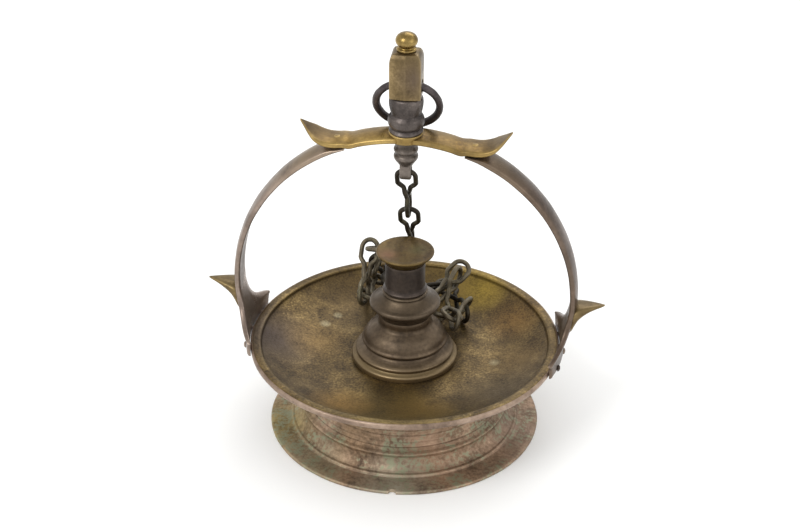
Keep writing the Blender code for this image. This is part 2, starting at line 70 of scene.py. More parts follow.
def grid(rings, closed_around=True, closed_along=False, cap=True):
    """A mesh through rings of points; a ring of one point is a pole."""
    bm = bmesh.new()
    rows = [[bm.verts.new(p) for p in ring] for ring in rings]
    pairs = list(zip(rows, rows[1:]))
    if closed_along:
        pairs.append((rows[-1], rows[0]))
    for a, b in pairs:
        count = max(len(a), len(b))
        for i in range(count if closed_around else count - 1):
            j = (i + 1) % count
            if len(a) == 1:
                bm.faces.new((a[0], b[j], b[i]))
            elif len(b) == 1:
                bm.faces.new((a[i], a[j], b[0]))
            else:
                bm.faces.new((a[i], a[j], b[j], b[i]))
    if cap and not closed_along:
        for row in (rows[0], rows[-1]):
            if len(row) > 2:
                bm.faces.new(row)
    bmesh.ops.recalc_face_normals(bm, faces=bm.faces)
    return bm


def roughen(bm, depth, size):
    """Uneven the surface a little, as cast and worn metal is."""
    bm.normal_update()
    moves = [(v, v.normal * depth * noise.noise(v.co / size)) for v in bm.verts]
    for v, move in moves:
        v.co += move


def mark_wear_and_crevice_shade(bm, mesh, passes=2):
    """Store how proud or sunken each vertex is, for the materials: wear on the proud places, dirt together
    with painted crevice shade in the sunken ones.
    """
    value = []
    for v in bm.verts:
        total = 0.0
        for e in v.link_edges:
            total += v.normal.dot((v.co - e.other_vert(v).co).normalized())
        value.append(total / max(1, len(v.link_edges)))
    bm.verts.index_update()
    for _ in range(passes):
        value = [0.5 * value[v.index] + 0.5 * sum(value[e.other_vert(v).index] for e in v.link_edges)
                 / max(1, len(v.link_edges)) for v in bm.verts]
    proud = mesh.attributes.new("proud", "FLOAT", "POINT")
    sunk = mesh.attributes.new("sunk", "FLOAT", "POINT")
    proud.data.foreach_set("value", [min(1.0, max(0.0, 5.0 * x)) for x in value])
    sunk.data.foreach_set("value", [min(1.0, max(0.0, -5.0 * x)) for x in value])


def piece(name, bm, mat, body, nodes=(), sharp=38.0):
    """Make the object, ride it on its body and let it stand for its CAD nodes."""
    bmesh.ops.recalc_face_normals(bm, faces=bm.faces)
    bm.normal_update()
    mesh = bpy.data.meshes.new(name)
    bm.to_mesh(mesh)
    mark_wear_and_crevice_shade(bm, mesh)
    bm.free()
    mesh.shade_smooth()
    mesh.set_sharp_from_angle(angle=radians(sharp))
    mesh.materials.append(mat)
    obj = bpy.data.objects.new(name, mesh)
    bpy.context.scene.collection.objects.link(obj)
    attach(obj, body)
    if nodes:
        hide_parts(*nodes)
    return obj


def lathe(profile, steps=STEPS):
    """Rings for a profile (radius, height) turned about Z."""
    rings = []
    for r, z in profile:
        if r < 1e-6:
            rings.append([Vector((0, 0, z * MM))])
        else:
            rings.append([Vector((r * cos(2 * pi * i / steps), r * sin(2 * pi * i / steps), z)) * MM
                          for i in range(steps)])
    return rings


def turned(outer, bore, steps=STEPS, per=5):
    """A body of revolution: a smooth outer line, and a bore, or a pole at each end on the axis."""
    line = [tuple(p) for p in spline(outer, per)]
    if bore:
        line += [(bore, outer[-1][1]), (bore, outer[0][1])]
        return grid(lathe(line, steps), closed_along=True)
    return grid(lathe(line, steps), cap=False)


def cut(bm, *cutters, operation="DIFFERENCE"):
    """Boolean the cutters, each a bmesh, with bm, and return the result as a bmesh."""
    scene = bpy.context.scene
    made = []
    for source in (bm, *cutters):
        bmesh.ops.recalc_face_normals(source, faces=source.faces)
        mesh = bpy.data.meshes.new("work")
        source.to_mesh(mesh)
        source.free()
        obj = bpy.data.objects.new("work", mesh)
        scene.collection.objects.link(obj)
        made.append(obj)
    for other in made[1:]:
        mod = made[0].modifiers.new("cut", "BOOLEAN")
        mod.operation = operation
        mod.solver = "EXACT"
        mod.object = other
    depsgraph = bpy.context.evaluated_depsgraph_get()
    result = bmesh.new()
    result.from_object(made[0], depsgraph)
    for obj in made:
        bpy.data.objects.remove(obj, do_unlink=True)
    bmesh.ops.remove_doubles(result, verts=result.verts, dist=0.00001)
    return result


def rod(radius, depth, centre, axis="Z", segments=48):
    bm = bmesh.new()
    bmesh.ops.create_cone(bm, cap_ends=True, segments=segments, radius1=radius * MM, radius2=radius * MM,
                          depth=depth * MM)
    if axis == "X":
        bm.transform(Matrix.Rotation(pi / 2, 4, "Y"))
    bm.transform(Matrix.Translation(Vector(centre) * MM))
    return bm


# --------------------------------------------------------------------------- materials
class Graph:
    """A short way to write a shader graph."""

    def __init__(self, name, metallic, roughness):
        self.mat = bpy.data.materials.new(name)
        self.mat.use_nodes = True
        self.tree = self.mat.node_tree
        self.shader = self.tree.nodes["Principled BSDF"]
        self.shader.inputs["Metallic"].default_value = metallic
        self.shader.inputs["Roughness"].default_value = roughness
        self.coord = self.tree.nodes.new("ShaderNodeTexCoord").outputs["Object"]

    def node(self, kind, **values):
        made = self.tree.nodes.new(kind)
        for key, value in values.items():
            setattr(made, key, value)
        return made

    def put(self, socket, value):
        if isinstance(value, bpy.types.NodeSocket):
            self.tree.links.new(value, socket)
        else:
            socket.default_value = value

    def math(self, operation, a, b=0.0, clamp=False):
        made = self.node("ShaderNodeMath", operation=operation, use_clamp=clamp)
        self.put(made.inputs[0], a)
        self.put(made.inputs[1], b)
        return made.outputs[0]

    def noise(self, scale, detail=4.0, rough=0.55, vector=None, distort=0.0):
        made = self.node("ShaderNodeTexNoise")
        self.put(made.inputs["Vector"], vector or self.coord)
        made.inputs["Scale"].default_value = scale
        made.inputs["Detail"].default_value = detail
        made.inputs["Roughness"].default_value = rough
        made.inputs["Distortion"].default_value = distort
        return made.outputs["Fac"]

    def spread(self, value, low, high, to_low=0.0, to_high=1.0):
        made = self.node("ShaderNodeMapRange")
        self.put(made.inputs["Value"], value)
        made.inputs["From Min"].default_value = low
        made.inputs["From Max"].default_value = high
        made.inputs["To Min"].default_value = to_low
        made.inputs["To Max"].default_value = to_high
        return made.outputs["Result"]

    def ramp(self, value, stops):
        made = self.node("ShaderNodeValToRGB")
        self.put(made.inputs["Fac"], value)
        line = made.color_ramp
        while len(line.elements) < len(stops):
            line.elements.new(0.5)
        for element, (place, colour) in zip(line.elements, stops):
            element.position = place
            element.color = (*colour, 1.0)
        return made.outputs["Color"]

    def mix(self, factor, a, b, blend="MIX"):
        made = self.node("ShaderNodeMix", data_type="RGBA", blend_type=blend)
        self.put(made.inputs[0], factor)
        self.put(made.inputs[6], (*a, 1.0) if isinstance(a, tuple) else a)
        self.put(made.inputs[7], (*b, 1.0) if isinstance(b, tuple) else b)
        return made.outputs[2]

    def attribute(self, name):
        made = self.node("ShaderNodeAttribute", attribute_name=name)
        return made.outputs["Fac"]

    def stretched(self, x, y, z):
        made = self.node("ShaderNodeMapping")
        self.put(made.inputs["Vector"], self.coord)
        made.inputs["Scale"].default_value = (x, y, z)
        return made.outputs["Vector"]

    def radius_height(self, radial, upright):
        """(radius * radial, 0, height * upright): the same all the way round the Z axis."""
        apart = self.node("ShaderNodeSeparateXYZ")
        self.put(apart.inputs[0], self.coord)
        square = self.math("ADD", self.math("MULTIPLY", apart.outputs[0], apart.outputs[0]),
                           self.math("MULTIPLY", apart.outputs[1], apart.outputs[1]))
        radius = self.math("MULTIPLY", self.math("SQRT", square), radial)
        height = self.math("MULTIPLY", apart.outputs[2], upright)
        together = self.node("ShaderNodeCombineXYZ")
        self.put(together.inputs[0], radius)
        self.put(together.inputs[2], height)
        return together.outputs[0]

    def near(self, point, reach):
        """1 at a point in the row frame, in millimetres, falling to 0 at reach."""
        made = self.node("ShaderNodeVectorMath", operation="DISTANCE")
        self.put(made.inputs[0], self.coord)
        made.inputs[1].default_value = Vector(point) * MM
        return self.spread(made.outputs["Value"], reach * MM, 0.0)

    def below(self, low, high):
        """1 up to the height low, falling to 0 at high, in millimetres."""
        apart = self.node("ShaderNodeSeparateXYZ")
        self.put(apart.inputs[0], self.coord)
        return self.spread(apart.outputs[2], high * MM, low * MM)

    def finish(self, colour, rough, bumps):
        """bumps is a list of (height, depth in millimetres)."""
        self.put(self.shader.inputs["Base Color"], colour)
        self.put(self.shader.inputs["Roughness"], rough)
        normal = None
        for height, depth in bumps:
            made = self.node("ShaderNodeBump")
            made.inputs["Strength"].default_value = 1.0
            made.inputs["Distance"].default_value = depth * MM
            self.put(made.inputs["Height"], height)
            if normal:
                self.put(made.inputs["Normal"], normal)
            normal = made.outputs["Normal"]
        self.put(self.shader.inputs["Normal"], normal)
        return self.mat


def bronze(name, stops, bright, dark, metallic=0.75, rough=(0.34, 0.52), size=34.0, patches=(), lines=0.0,
           green=0.0, crust_tint=(0.205, 0.225, 0.165), streak=0.0, wear=0.7, half=0.18, fine=0.28,
           skirt=None):
    """Aged copper alloy: mottled patina, bright where it is rubbed and dark where it is sunken, that dark
    being dirt together with painted crevice shade. Some of the tinted patches are painted light and some
    painted shade.

    half is half of the range of noise that the colour stops cover: a larger one gives a plainer metal.
    fine is how much of the mottling is small.  skirt is (height, height, tint) of a tinted lower edge.
    """
    g = Graph(name, metallic, rough[0])
    mottle = g.noise(size, 7.0, 0.62, distort=0.4)
    speck = g.noise(size * 11, 4.0, 0.6)
    pores = g.noise(2600.0, 2.0, 0.5)
    tone = g.math("ADD", g.math("MULTIPLY", mottle, 1.0 - fine), g.math("MULTIPLY", speck, fine))
    colour = g.ramp(g.spread(tone, 0.5 - half, 0.5 + half), stops)
    for point, reach, tint, strength in patches:
        mask = g.math("MULTIPLY", g.near(point, reach), g.spread(tone, 0.36, 0.58, 0.25, strength))
        colour = g.mix(mask, colour, tint)
    if skirt:
        low, high, tint = skirt
        colour = g.mix(g.math("MULTIPLY", g.below(low, high), g.spread(tone, 0.3, 0.6, 0.6, 1.0)), colour,
                       tint)
    if streak:
        run = g.noise(60.0, 5.0, 0.6, vector=g.stretched(1.0, 1.0, 0.12))
        colour = g.mix(g.spread(run, 0.46, 0.64, 0.0, streak), colour, dark)
    if green:
        crust = g.math("MULTIPLY", g.noise(52.0, 6.0, 0.65, distort=0.8),
                       g.spread(speck, 0.3, 0.6, 0.6, 1.15))
        crust = g.spread(crust, 0.50, 0.62, 0.0, green)
        colour = g.mix(crust, colour, crust_tint)
    proud = g.math("MULTIPLY", g.attribute("proud"), g.spread(mottle, 0.3, 0.6, 0.45, 1.0))
    colour = g.mix(g.math("MULTIPLY", proud, wear, clamp=True), colour, bright)
    # painted crevice shade together with dirt: the sunken places are darkened
    colour = g.mix(g.math("MULTIPLY", g.attribute("sunk"), 0.85, clamp=True), colour, dark)
    roughness = g.spread(tone, 0.35, 0.65, rough[1], rough[0])
    bumps = [(mottle, 0.25), (speck, 0.06), (pores, 0.02)]
    if lines:
        bumps.append((g.noise(1.0, 2.0, 0.6, vector=g.radius_height(900.0, 900.0)), lines))
    return g.finish(colour, roughness, bumps)


def toned(stops, *gains):
    """A ramp made lighter, darker or warmer: one gain each for red, green and blue."""
    return [(at, tuple(part * gain for part, gain in zip(colour, gains))) for at, colour in stops]


OLIVE = [(0.0, (0.030, 0.020, 0.012)), (0.30, (0.064, 0.043, 0.019)), (0.55, (0.098, 0.066, 0.027)),
         (0.78, (0.138, 0.095, 0.038)), (1.0, (0.21, 0.150, 0.066))]
GOLD = [(0.0, (0.060, 0.036, 0.011)), (0.35, (0.145, 0.092, 0.024)), (0.65, (0.240, 0.160, 0.046)),
        (1.0, (0.40, 0.28, 0.10))]
UMBER = [(0.0, (0.026, 0.017, 0.008)), (0.35, (0.070, 0.046, 0.019)), (0.65, (0.125, 0.084, 0.035)),
         (1.0, (0.24, 0.17, 0.08))]
RUSSET = [(0.0, (0.030, 0.018, 0.008)), (0.35, (0.075, 0.048, 0.016)), (0.60, (0.112, 0.076, 0.024)),
          (0.85, (0.150, 0.098, 0.036)), (1.0, (0.22, 0.155, 0.065))]
BROWN = [(0.0, (0.014, 0.010, 0.009)), (0.40, (0.038, 0.029, 0.024)), (0.70, (0.060, 0.045, 0.036)),
         (1.0, (0.10, 0.076, 0.060))]
ASH = [(0.0, (0.020, 0.015, 0.011)), (0.35, (0.055, 0.041, 0.030)), (0.60, (0.080, 0.061, 0.045)),
       (0.85, (0.112, 0.086, 0.063)), (1.0, (0.17, 0.132, 0.096))]
COPPER = [(0.0, (0.080, 0.055, 0.038)), (0.35, (0.180, 0.128, 0.088)), (0.60, (0.275, 0.198, 0.142)),
          (0.80, (0.36, 0.262, 0.195)), (1.0, (0.50, 0.38, 0.29))]
GREY = [(0.0, (0.060, 0.044, 0.038)), (0.40, (0.140, 0.108, 0.090)), (0.70, (0.215, 0.170, 0.145)),
        (1.0, (0.33, 0.27, 0.24))]
ROSE = [(0.0, (0.100, 0.072, 0.058)), (0.40, (0.200, 0.148, 0.120)), (0.70, (0.300, 0.228, 0.188)),
        (1.0, (0.42, 0.34, 0.29))]
SHADE = [(0.0, (0.022, 0.014, 0.010)), (0.40, (0.054, 0.037, 0.026)), (0.70, (0.090, 0.064, 0.048)),
         (1.0, (0.16, 0.12, 0.10))]
IRON = [(0.0, (0.010, 0.008, 0.008)), (0.45, (0.038, 0.031, 0.031)), (0.75, (0.070, 0.058, 0.057)),
        (1.0, (0.13, 0.11, 0.105))]
SLAG = [(0.0, (0.020, 0.016, 0.013)), (0.40, (0.070, 0.057, 0.047)), (0.70, (0.120, 0.098, 0.082)),
        (1.0, (0.21, 0.18, 0.15))]
LINKS = [(0.0, (0.026, 0.021, 0.016)), (0.40, (0.064, 0.053, 0.040)), (0.70, (0.110, 0.092, 0.068)),
         (1.0, (0.21, 0.18, 0.135))]

MATS = {
    "dish": bronze("dish_bronze", toned(OLIVE, 1.05, 1.0, 0.85), (0.32, 0.23, 0.08), (0.030, 0.021, 0.011),
                   lines=0.05, half=0.145, size=64.0, fine=0.5,
                   # painted light: the front slope of the floor, which faces away from the key light, is made
                   # lighter gold
                   patches=[((0, -92, 57), 62, (0.215, 0.155, 0.058), 0.9),
                            ((-34, -70, 54), 26, (0.36, 0.20, 0.040), 0.9),
                            ((20, -66, 54), 26, (0.27, 0.165, 0.042), 0.7),
                            # painted highlight: the bright yellow glint on the back right of the floor and
                            # the glow round it
                            ((44, 80, 56), 24, (0.52, 0.36, 0.050), 0.95),
                            ((30, 84, 56), 44, (0.19, 0.125, 0.030), 0.8),
                            # painted light: the right side of the floor is made lighter
                            ((72, 46, 54), 24, (0.24, 0.13, 0.038), 0.8),
                            ((80, 2, 54), 30, (0.20, 0.125, 0.045), 0.6),
                            # painted shade: the left side of the dish is made dark
                            ((-92, -4, 60), 40, (0.048, 0.035, 0.036), 1.0),
                            ((-50, 60, 54), 44, (0.075, 0.048, 0.018), 0.7),
                            ((-62, 8, 50), 26, (0.19, 0.115, 0.036), 0.8),
                            ((-60, 30, 50), 4.6, (0.38, 0.33, 0.20), 0.9),
                            ((-53, 42, 50), 4.0, (0.36, 0.32, 0.20), 0.9),
                            ((62, -2, 50), 4.6, (0.34, 0.29, 0.17), 0.8),
                            ((66, -44, 54), 34, (0.120, 0.088, 0.048), 0.7)]),
    # painted highlight: the lip's outer face and underside are given a lighter rose copy of the bronze
    "rim": bronze("rim_lip_painted_highlight", toned(ROSE, 1.12, 1.06, 0.96), (0.54, 0.42, 0.32), (0.06, 0.042, 0.030),
                  lines=0.03),
    "foot": bronze("foot_bronze", toned(COPPER, 1.2, 1.1, 0.98), (0.52, 0.40, 0.28), (0.085, 0.060, 0.044),
                   metallic=0.6, rough=(0.42, 0.62), lines=0.12, green=0.8, streak=0.32, fine=0.42, half=0.14,
                   crust_tint=(0.24, 0.26, 0.165),
                   patches=[((-84, -28, 4), 40, (0.36, 0.30, 0.075), 0.9),
                            ((-54, -72, 4), 30, (0.33, 0.30, 0.18), 0.85),
                            ((-30, -66, 30), 26, (0.30, 0.19, 0.085), 0.7),
                            ((86, -10, 4), 50, (0.17, 0.115, 0.082), 0.8),
                            ((24, -66, 22), 34, (0.33, 0.20, 0.125), 0.7),
                            ((4, -92, 3), 34, (0.38, 0.38, 0.30), 0.9)]),
    "stem": bronze("stem_bronze", BROWN, (0.15, 0.115, 0.09), (0.012, 0.009, 0.007), lines=0.06),
    "base": bronze("base_bronze", toned(ASH, 1.45, 1.34, 1.12), (0.28, 0.21, 0.14), (0.018, 0.012, 0.008),
                   lines=0.06,
                   skirt=(54.5, 60.5, (0.19, 0.135, 0.064))),
    "collar": bronze("collar_bronze", toned(ASH, 1.1, 1.03, 0.85), (0.16, 0.125, 0.09),
                     (0.012, 0.009, 0.007), lines=0.06, half=0.26),
    "cap": bronze("cap_bronze", toned(RUSSET, 0.9, 0.82, 0.6), (0.27, 0.20, 0.09), (0.04, 0.026, 0.014),
                  lines=0.04, half=0.22,
                  patches=[((-11, -7, 132), 10, (0.150, 0.066, 0.034), 0.8),
                           ((9, 3, 132), 9, (0.085, 0.080, 0.028), 0.8)]),
    # painted light and shade: the left leg and its rivets are a lighter, lit copy of the bronze, the right
    # leg and its rivets a darker, shaded copy
    "leg_left": bronze("leg_left_painted_lit_bronze", toned(GREY, 1.0, 0.94, 0.86), (0.48, 0.39, 0.33),
                       (0.05, 0.035, 0.030), rough=(0.26, 0.42),
                       patches=[((-62, 0, 205), 50, (0.190, 0.130, 0.055), 1.0),
                                ((-104, 0, 74), 26, (0.085, 0.064, 0.054), 1.0)]),
    "leg_right": bronze("leg_right_painted_shade_bronze", toned(SHADE, 0.85, 0.72, 0.65), (0.30, 0.23, 0.17),
                        (0.03, 0.02, 0.015), rough=(0.26, 0.42),
                        patches=[((62, 0, 205), 34, (0.105, 0.072, 0.036), 0.9),
                                 ((112, 0, 150), 40, (0.13, 0.095, 0.078), 0.9)]),
    "thorn": bronze("thorn_bronze", UMBER, (0.34, 0.25, 0.11), (0.04, 0.026, 0.014), rough=(0.28, 0.44),
                    # painted light and shade: the left thorn's tip is made lighter and the right thorn's tip
                    # darker
                    patches=[((-128, 0, 118), 24, (0.22, 0.155, 0.050), 0.9),
                             ((128, 0, 118), 26, (0.055, 0.040, 0.020), 1.0)]),
    "crown": bronze("crown_bronze", toned(GOLD, 0.95, 0.86, 0.62), (0.66, 0.48, 0.19), (0.07, 0.045, 0.02),
                    rough=(0.28, 0.44),
                    patches=[((-68, 0, 220), 26, (0.070, 0.050, 0.028), 1.0),
                             ((24, 0, 232), 20, (0.085, 0.062, 0.045), 0.9),
                             ((64, 0, 220), 16, (0.13, 0.095, 0.05), 0.9)]),
    "post": bronze("post_bronze", UMBER, (0.46, 0.34, 0.17), (0.05, 0.034, 0.02), rough=(0.30, 0.44),
                   size=60.0,
                   # painted shade: the right half of the post's front is made darker
                   patches=[((9, -9, 262), 17, (0.066, 0.046, 0.042), 0.95)]),
    "knob": bronze("knob_brass", GOLD, (0.62, 0.46, 0.21), (0.10, 0.066, 0.028), metallic=0.95,
                   rough=(0.22, 0.34), size=80.0),
    "boss": bronze("boss_bronze", toned(IRON, 1.3, 1.3, 1.2), (0.24, 0.20, 0.175), (0.012, 0.010, 0.009),
                   rough=(0.34, 0.5), size=70.0),
    "iron": bronze("ring_iron", IRON, (0.12, 0.10, 0.10), (0.010, 0.008, 0.008), rough=(0.40, 0.58),
                   size=90.0),
    "eye": bronze("eye_iron", SLAG, (0.30, 0.255, 0.22), (0.014, 0.011, 0.010), rough=(0.36, 0.5), size=90.0),
    "link": bronze("link_bronze", toned(LINKS, 0.72, 0.68, 0.58), (0.24, 0.20, 0.135),
                   (0.018, 0.015, 0.012), rough=(0.38, 0.55),
                   size=110.0, green=0.45, crust_tint=(0.15, 0.15, 0.075)),
}


# --------------------------------------------------------------------------- foot and dish
def floor_height(radius):
    return 50.0 + 11.2 * max(0.0, (radius - 56.0) / 40.0) ** 2


def make_dish():
    inner = [(r, floor_height(r)) for r in (20.0, 36.0, 50.0, 60.0, 68.0, 76.0, 84.0, 90.0, 94.5)]
    rim = [(96.4, 61.6), (97.1, 62.2), (97.5, 63.0), (97.9, 64.0), (98.7, 64.5), (101.2, 64.7), (103.6, 64.5),
           (104.6, 63.9), (104.96, 62.9), (104.9, 61.6), (104.4, 60.6), (103.2, 60.3), (99.5, 60.1)]
    under = [(r - 0.6, floor_height(r) - 2.0) for r in (96.0, 88.0, 80.0, 72.0, 64.0, 56.0)] + [(30.0, 48.0)]
    line = spline(inner + rim + under, 4)
    bm = grid(lathe([(3.3, 50.0)] + [tuple(p) for p in line] + [(3.3, 48.0)], STEPS), closed_along=True)
    roughen(bm, 0.22 * MM, 0.022)
    for v in bm.verts:
        reach = hypot(v.co.x, v.co.y)
        if reach > 0.10498:
            v.co.x *= 0.10498 / reach
            v.co.y *= 0.10498 / reach
    obj = piece("dish_body", bm, MATS["dish"], "lamp", ["dish"])
    # the outer face and underside of the lip take the lighter rose rim material, a painted highlight
    obj.data.materials.append(MATS["rim"])
    for face in obj.data.polygons:
        middle = face.center
        if hypot(middle.x, middle.y) > 0.1036 or (hypot(middle.x, middle.y) > 0.098 and middle.z < 0.0612):
            face.material_index = 1


def make_foot():
    outer = [(54.6, 47.7), (58.2, 46.9), (60.4, 45.0), (62.2, 41.5), (63.0, 37.5), (63.2, 33.0), (63.7, 29.0),
             (64.6, 25.0), (66.2, 21.2), (68.4, 18.3), (70.2, 17.0), (70.9, 16.3), (70.7, 15.2), (70.4, 13.8),
             (71.2, 11.0), (72.9, 8.2), (75.2, 6.1), (76.2, 5.5), (77.2, 5.35), (78.0, 4.9), (78.6, 3.9),
             (80.4, 3.35), (86.0, 2.8), (90.6, 2.3), (91.9, 1.9), (92.45, 1.1), (92.4, 0.3), (91.9, 0.0)]
    inner = [(80.0, 0.0), (74.8, 2.9), (69.6, 10.0), (68.2, 14.8), (64.0, 20.4), (61.5, 29.0), (61.1, 37.4),
             (58.6, 44.0), (54.4, 45.7), (3.3, 45.7), (3.3, 47.7)]
    grooves = (34.6, 30.6, 27.0, 22.8, 20.0)
    line = []
    for r, z in spline(outer, 8):
        r -= 0.30 * sum(max(0.0, 1.0 - abs(z - level) / 0.55) for level in grooves)
        line.append((r, z))
    bm = grid(lathe(line + inner, STEPS), closed_along=True)
    roughen(bm, 0.18 * MM, 0.018)
    for v in bm.verts:
        v.co.z = max(v.co.z, 0.0)
    notch = rod(2.5, 12.0, (3.8, -92.1, 0.0), segments=24)
    piece("foot_body", cut(bm, notch), MATS["foot"], "lamp", ["foot_ring"])


# --------------------------------------------------------------------------- pillar
def make_pillar():
    bore = 3.3
    base = [(17.6, 84.0), (17.9, 82.4), (17.8, 79.4), (18.6, 77.5), (21.0, 75.6), (24.2, 73.2), (26.6, 70.0),
            (27.9, 67.0), (28.8, 65.8), (29.0, 65.0), (28.5, 64.2), (27.3, 63.3), (26.8, 62.4), (27.4, 61.3),
            (29.4, 59.9), (32.2, 58.7), (33.2, 57.9), (33.3, 57.0), (32.7, 56.1), (32.7, 55.4), (33.8, 54.6),
            (35.4, 53.9), (36.0, 53.1), (36.0, 51.6), (35.8, 50.4)]
    collar = [(14.4, 103.0), (15.2, 102.6), (15.6, 101.8), (15.3, 100.8), (15.9, 99.6), (17.9, 97.7),
              (20.8, 95.7), (23.2, 94.5), (23.8, 93.5), (23.8, 92.2), (23.0, 91.2), (21.2, 90.3),
              (19.9, 89.3),
              (18.9, 87.4), (18.2, 85.8), (17.7, 84.4)]
    stem = [(13.5, 124.5), (13.45, 120.0), (13.4, 115.0), (13.45, 110.0), (13.6, 106.6), (14.1, 105.4),
            (14.7, 104.6), (14.7, 103.9), (14.3, 103.35)]
    cap = [(0.0, 132.2), (4.0, 132.15), (10.0, 132.1), (15.0, 132.2), (18.3, 132.45), (19.2, 132.3),
           (19.4, 131.7), (19.0, 130.9), (17.6, 129.5), (15.8, 127.8), (14.4, 126.2), (13.7, 125.2),
           (13.2, 124.9), (8.0, 124.9),
           (0.0, 124.9)]
    for name, line, hole, mat, slot in (
            ("pillar_base", base, bore, "base", "dark_bronze"),
            ("pillar_collar", collar, bore, "collar", "dark_bronze"),
            ("pillar_stem", stem, bore, "stem", "dark_bronze"),
            ("pillar_cap", cap, None, "cap", "aged_bronze")):
        bm = turned(line, hole, 96, 5)
        roughen(bm, 0.10 * MM, 0.009)
        piece(name + "_body", bm, MATS[mat], "lamp", [name])


# --------------------------------------------------------------------------- bail
ARCH = 105.3
INNER = 111.0
BAND = 10.3


def band_ring(half, edge, crown):
    """(across, out) round the band: flat inside, domed outside, with softened edges."""
    soft = min(0.8, 0.35 * edge)
    ring = [(-half + soft, 0.0)]
    ring += [(-half + soft + (2 * half - 2 * soft) * i / 6, 0.0) for i in range(1, 7)]
    ring += [(half - 0.3 * soft, 0.3 * soft), (half, soft), (half, edge - soft),
             (half - 0.3 * soft, edge - 0.3 * soft)]
    for i in range(11):
        u = 1.0 - 2.0 * i / 10
        across = u * (half - soft)
        ring.append((across, edge + (crown - edge) * (1 - (across / half) ** 2)))
    ring += [(-half + 0.3 * soft, edge - 0.3 * soft), (-half, edge - soft), (-half, soft),
             (-half + 0.3 * soft, 0.3 * soft)]
    return ring


def leg_stations():
    """(centre x, z, outward x, z, half width, edge, crown, bend in plan) down one leg, right-hand side."""
    rows = []
    for i in range(34):
        degrees = 69.5 * (1 - i / 33)
        a = radians(degrees)
        near_end = min(1.0, max(0.0, (69.5 - degrees) / 7.0))
        near_end = near_end * near_end * (3 - 2 * near_end)
        rows.append((INNER * cos(a), ARCH + INNER * sin(a), cos(a), sin(a), BAND, 0.8 + 2.2 * near_end,
                     0.9 + 3.9 * near_end, 0.0))
    foot = [(105.3, 111.0, 10.3, 3.0, 4.8, 0.0), (98.0, 110.7, 10.3, 3.2, 5.0, 0.0),
            (91.5, 109.6, 10.9, 3.3, 5.4, 0.05), (86.0, 108.3, 12.8, 3.3, 5.2, 0.2),
            (81.5, 107.3, 16.6, 3.2, 4.8, 0.45), (77.6, 106.5, 22.0, 3.1, 4.3, 0.7),
            (74.6, 106.0, 28.4, 3.0, 3.8, 0.9), (72.4, 105.6, 34.0, 2.8, 3.4, 1.0),
            (71.2, 105.45, 35.2, 2.7, 3.2, 1.0), (69.8, 105.4, 34.0, 2.6, 3.0, 1.0),
            (66.0, 105.4, 33.0, 2.5, 2.8, 1.0), (61.8, 105.4, 32.4, 2.3, 2.6, 1.0),
            (60.4, 105.4, 32.0, 1.6, 1.9, 1.0)]
    for row in spline(foot, 4)[1:]:
        z, x, half, edge, crown, bend = row
        rows.append((x, z, 1.0, 0.0, half, edge, crown, bend))
    return rows


def make_leg(side, word):
    rings = []
    for x, z, ox, oz, half, edge, crown, bend in leg_stations():
        ring = []
        for across, out in band_ring(half, edge, crown):
            shift = bend * (sqrt(105.0 ** 2 - across ** 2) - 105.0)
            ring.append(Vector((side * (x + shift + ox * out), across, z + oz * out)) * MM)
        rings.append(ring)
    bm = grid(rings)
    roughen(bm, 0.16 * MM, 0.012)
    # each leg takes its copy: painted light on the left, painted shade on the right
    piece(f"bail_leg_{word}_body", bm, MATS["leg_" + word], "lamp", [f"bail_leg_{word}"],
          sharp=50.0)
    thorn = [(111.9, 80.5, 99.4, 9.4), (113.4, 83.0, 99.9, 9.8), (114.6, 86.2, 100.1, 9.9),
             (117.0, 91.2, 100.4, 9.2), (120.0, 94.3, 100.7, 7.8), (124.0, 96.8, 101.0, 5.8),
             (128.0, 98.6, 101.2, 3.8),
             (132.0, 99.9, 101.35, 1.7), (134.0, 100.7, 101.4, 0.5)]
    rings = []
    for x, low, high, half in spline(thorn, 4):
        middle, tall = 0.5 * (low + high), 0.5 * (high - low)
        ring = []
        for i in range(24):
            a = 2 * pi * i / 24
            c, s = cos(a), sin(a)
            flat = (abs(c) ** 3.2 + abs(s) ** 3.2) ** (-1 / 3.2)
            ring.append(Vector((side * x, half * c * flat, middle + tall * s * flat)) * MM)
        rings.append(ring)
    bm = grid(rings)
    roughen(bm, 0.10 * MM, 0.008)
    piece(f"bail_thorn_{word}", bm, MATS["thorn"], "lamp", sharp=50.0)


def make_crown():
    leaf = [(41.0, 210.7, 213.7, 1.3, 10.3), (46.0, 210.3, 213.3, 1.1, 10.3), (51.0, 210.7, 213.7, 0.9, 10.3),
            (56.0, 212.4, 215.3, 0.7, 10.2), (59.5, 214.6, 217.4, 0.5, 9.4), (63.0, 217.6, 220.2, 0.3, 6.4),
            (66.0, 220.9, 223.0, 0.2, 3.3), (68.7, 224.2, 225.2, 0.1, 0.7)]
    rows = []
    for x in [6.0 * i for i in range(7)]:
        rows.append((x, ARCH + sqrt(INNER ** 2 - x * x), ARCH + sqrt(114.2 ** 2 - x * x), 1.5, BAND))
    half_rows = spline(rows + leaf, 4)
    table = [(-r[0], *r[1:]) for r in reversed(half_rows[1:])] + [tuple(r) for r in half_rows]
    rings = []
    for x, under, top, rise, half in table:
        ring = [Vector((x, across, under + out)) * MM
                for across, out in band_ring(half, top - under, top - under + rise)]
        rings.append(ring)
    bm = grid(rings)
    pad = [(0.0, 221.5), (9.0, 221.5), (10.8, 221.4), (11.3, 221.0), (11.4, 220.4), (11.4, 218.0),
           (11.3, 216.7),
           (11.0, 216.1), (0.0, 216.1)]
    bm = cut(bm, grid(lathe([tuple(p) for p in pad], 72), cap=False), operation="UNION")
    bm = cut(bm, rod(4.3, 30.0, (0, 0, 221.5)))
    piece("bail_crown_body", bm, MATS["crown"], "lamp", ["bail_crown"], sharp=50.0)


